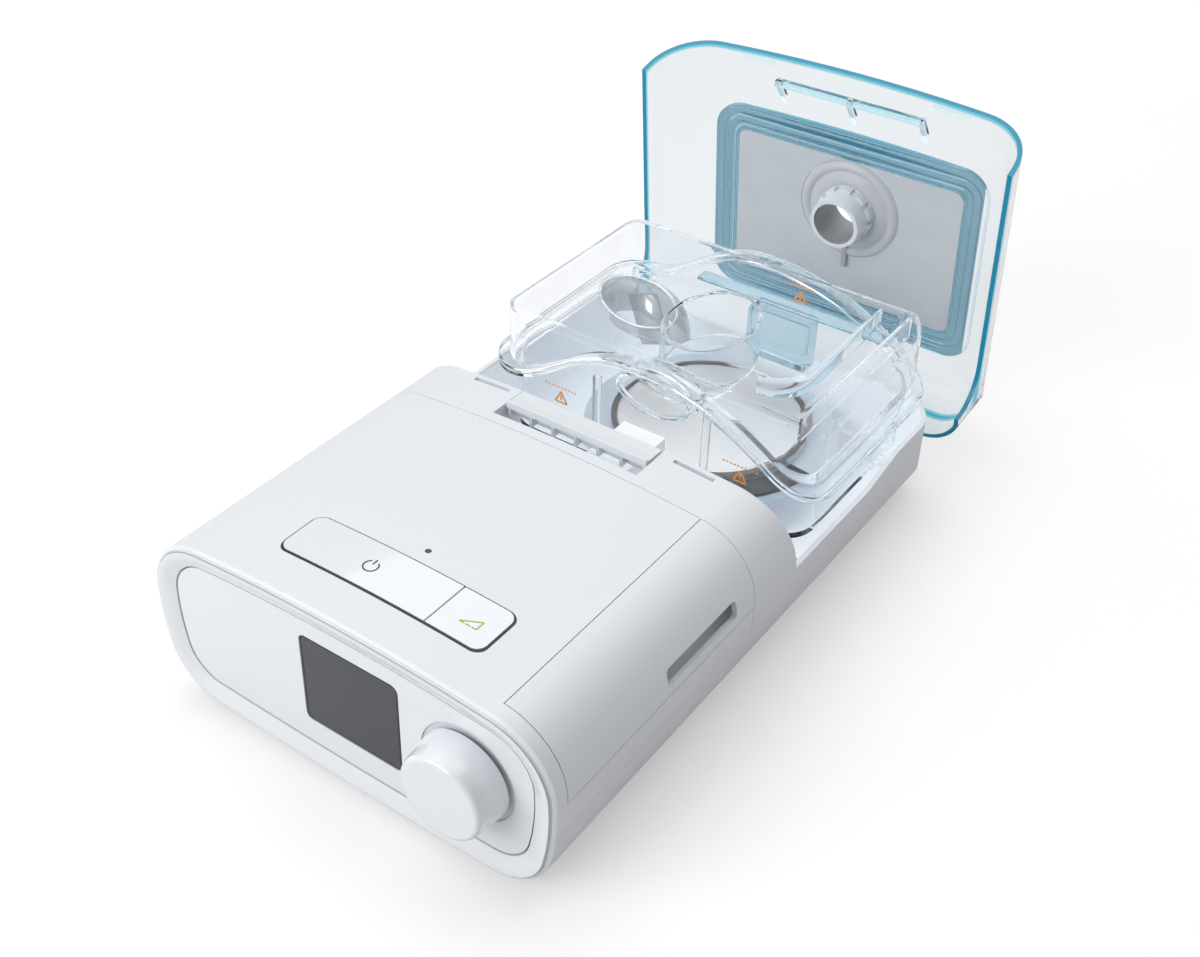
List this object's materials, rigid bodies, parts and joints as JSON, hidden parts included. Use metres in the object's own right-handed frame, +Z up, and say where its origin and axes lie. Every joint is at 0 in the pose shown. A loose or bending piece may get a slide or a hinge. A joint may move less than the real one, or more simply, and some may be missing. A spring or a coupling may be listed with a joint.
{
  "type": "cpap machine",
  "caption": "Bedside positive airway pressure machine with a round dial, dark screen, push keys and a clear water tank under a hinged see-through lid.",
  "frame": {"origin": "centre of the object's footprint, on the surface that it stands on, with the lid open", "axes": "+X to the right as seen from the front, +Y from the front face to the hinged lid, +Z up"},
  "size_m": [0.193, 0.3963, 0.1666],
  "materials": {
    "white_shell": "fine satin moulded texture, cool white",
    "gloss_white": "smooth gloss white",
    "inner_white": "plain moulded white",
    "rubber_grey": "matt grey silicone",
    "screen_dark": "glossy dark window",
    "black_plastic": "matt black",
    "sensor_dark": "gloss dark",
    "circuit_board": "green laminate",
    "motor_steel": "plain steel",
    "heater_metal": "brushed metal disc",
    "filter_fibre": "white fibre pad",
    "clear_tank": "clear, polished",
    "tank_duct": "milky clear",
    "clear_lid": "clear with a blue-green tint at its edges"
  },
  "bodies": {
    "base": {"top_housing": "white_shell", "bottom_housing": "white_shell", "foot_1": "rubber_grey", "foot_2": "rubber_grey", "foot_3": "rubber_grey", "foot_4": "rubber_grey", "foot_5": "rubber_grey", "foot_6": "rubber_grey", "front_bezel": "gloss_white", "face_panel": "gloss_white", "screen_lens": "screen_dark", "screen_module": "black_plastic", "face_board": "circuit_board", "encoder": "inner_white", "key_tray": "inner_white", "key_board": "circuit_board", "switch_1": "black_plastic", "switch_2": "black_plastic", "sensor_lens": "sensor_dark", "air_filter": "filter_fibre", "filter_frame": "inner_white", "blower_casing": "inner_white", "blower_duct": "inner_white", "blower_motor": "motor_steel", "air_port": "inner_white", "main_board": "circuit_board", "power_socket": "black_plastic", "humidifier_base": "white_shell", "latch_axle": "motor_steel", "hinge_pin_left": "motor_steel", "hinge_pin_right": "motor_steel", "heater_spring_1": "motor_steel", "heater_spring_2": "motor_steel", "heater_spring_3": "motor_steel"},
    "dial_shaft": {"dial_shaft": "motor_steel"},
    "dial": {"dial": "gloss_white"},
    "power_key": {"power_key": "gloss_white"},
    "ramp_key": {"ramp_key": "gloss_white"},
    "side_door": {"side_door": "white_shell"},
    "impeller": {"impeller": "black_plastic"},
    "latch": {"latch_lever": "white_shell"},
    "heater": {"heater_plate": "heater_metal", "heater_carrier": "black_plastic"},
    "tank": {"tank_lower": "clear_tank", "tank_mouth": "clear_tank", "tank_cover": "clear_tank", "tank_seal": "rubber_grey", "tank_plate": "heater_metal", "tank_outlet": "tank_duct"},
    "lid": {"lid_shell": "clear_lid", "lid_frame": "clear_lid", "lid_pad": "rubber_grey", "lid_seal": "rubber_grey", "lid_port": "inner_white"}
  },
  "joints": [
    {"name": "lid_hinge", "type": "hinge", "parent": "base", "child": "lid", "pos_m": [0, 0.12359, 0.008], "axis": [1, 0, 0], "range_deg": [0, 84]},
    {"name": "heater_press", "type": "slide", "parent": "base", "child": "heater", "axis": [0, 0, -1], "range_m": [0, 0.0205], "stiffness_N_per_m": 300, "springref_m": -0.012, "deforming": ["heater_spring_1", "heater_spring_2", "heater_spring_3"]},
    {"name": "tank_lift", "type": "slide", "parent": "heater", "child": "tank", "axis": [0, 0, 1], "range_m": [0, 0.08]},
    {"name": "power_press", "type": "slide", "parent": "base", "child": "power_key", "axis": [0, 0, -1], "range_m": [0, 0.001], "stiffness_N_per_m": 600, "springref_m": -0.0005},
    {"name": "ramp_press", "type": "slide", "parent": "base", "child": "ramp_key", "axis": [0, 0, -1], "range_m": [0, 0.001], "stiffness_N_per_m": 600, "springref_m": -0.0005},
    {"name": "dial_press", "type": "slide", "parent": "base", "child": "dial_shaft", "axis": [0, 1, 0], "range_m": [0, 0.0008], "stiffness_N_per_m": 900, "springref_m": -0.0005},
    {"name": "dial_turn", "type": "hinge", "parent": "dial_shaft", "child": "dial", "pos_m": [0.0573, -0.18541, 0.044], "axis": [0, 1, 0], "continuous": true},
    {"name": "side_door_hinge", "type": "hinge", "parent": "base", "child": "side_door", "pos_m": [0.0963, -0.18541, 0.0494], "axis": [0, 1, 0], "range_deg": [0, 70]},
    {"name": "impeller_spin", "type": "hinge", "parent": "base", "child": "impeller", "pos_m": [0.034, -0.11141, 0.03], "axis": [0, 0, 1], "continuous": true},
    {"name": "latch_hinge", "type": "hinge", "parent": "base", "child": "latch", "pos_m": [0, -0.03391, 0.0784], "axis": [-1, 0, 0], "range_deg": [0, 18], "stiffness_Nm_per_rad": 0.05, "springref_deg": -11.46}
  ],
  "couplings": [
    {"joint": "heater_press", "follows": "lid_hinge", "m_per_rad": 0.01398}
  ]
}
